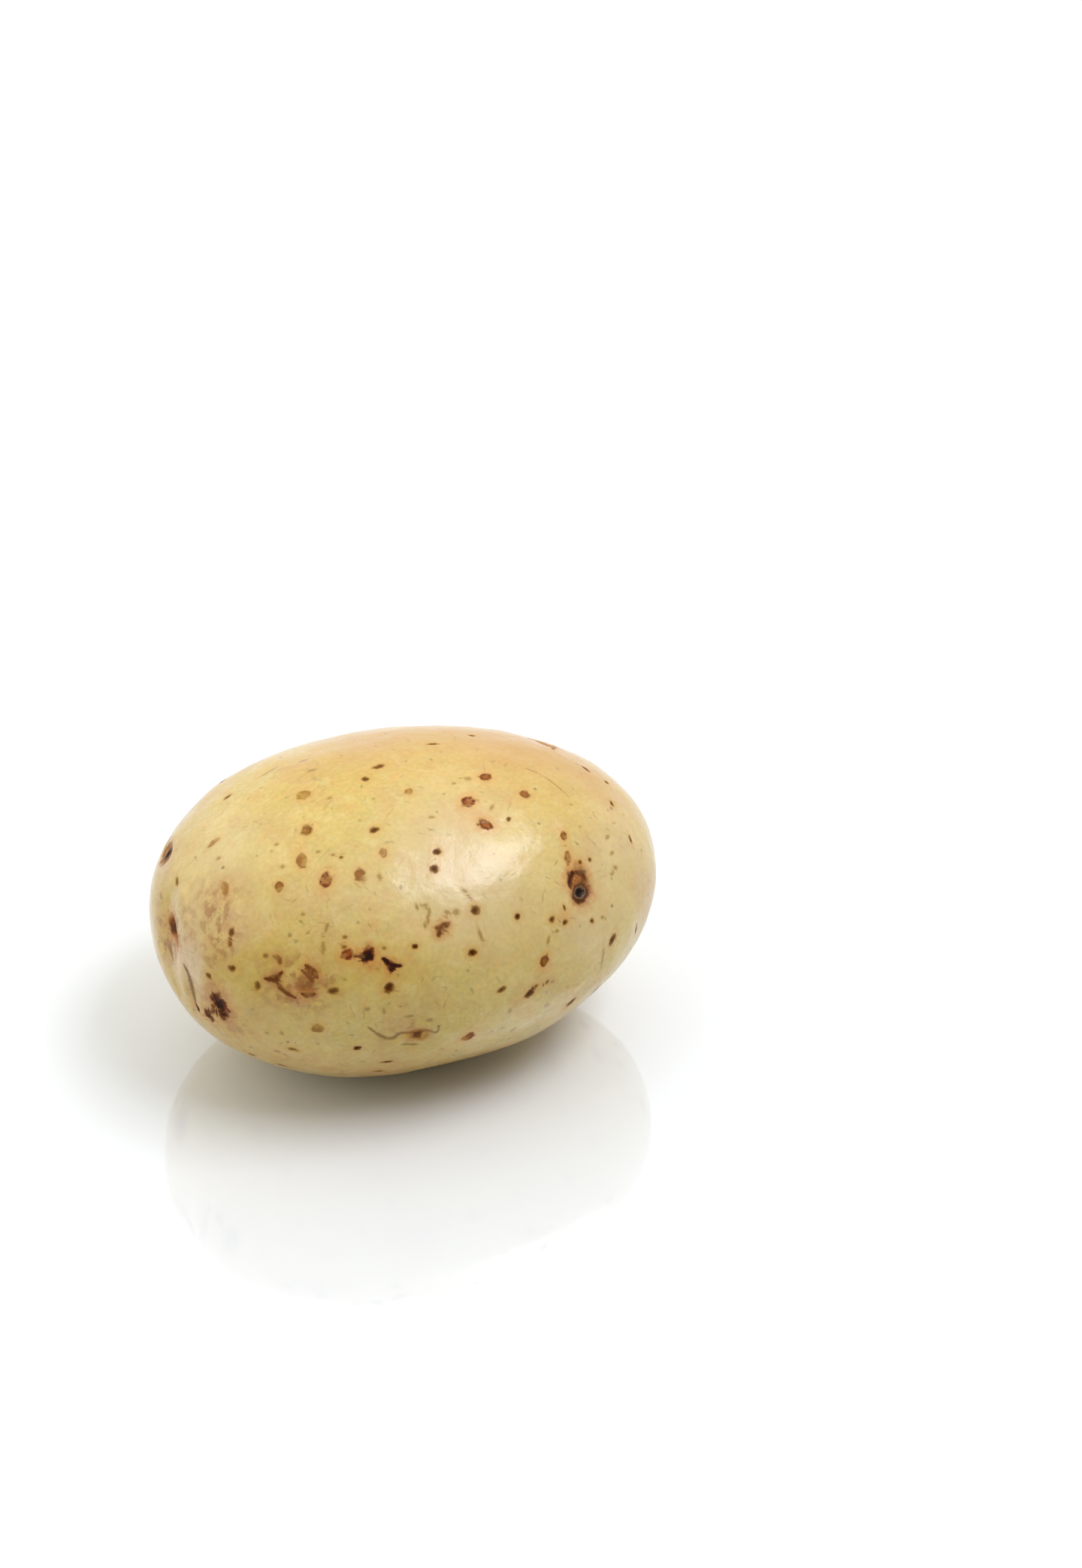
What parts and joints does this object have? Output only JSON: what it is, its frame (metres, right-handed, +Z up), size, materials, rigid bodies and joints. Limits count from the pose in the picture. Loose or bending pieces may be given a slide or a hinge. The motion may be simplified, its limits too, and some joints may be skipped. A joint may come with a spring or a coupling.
{
  "type": "potato",
  "caption": "Oval yellow-skinned potato, washed and whole, with shallow eyes and corky specks, resting on a small flat spot.",
  "frame": {"origin": "middle of the potato's box, on the surface that it rests on; the small flat spot underneath lies in this plane", "axes": "+X along the long axis, from the rose end with most eyes to the heel end; +Z up, along the thinnest way; -Y is the front"},
  "size_m": [0.102, 0.078, 0.062],
  "materials": {
    "skin": "satin"
  },
  "bodies": {
    "root": {"potato": "skin"}
  },
  "joints": []
}
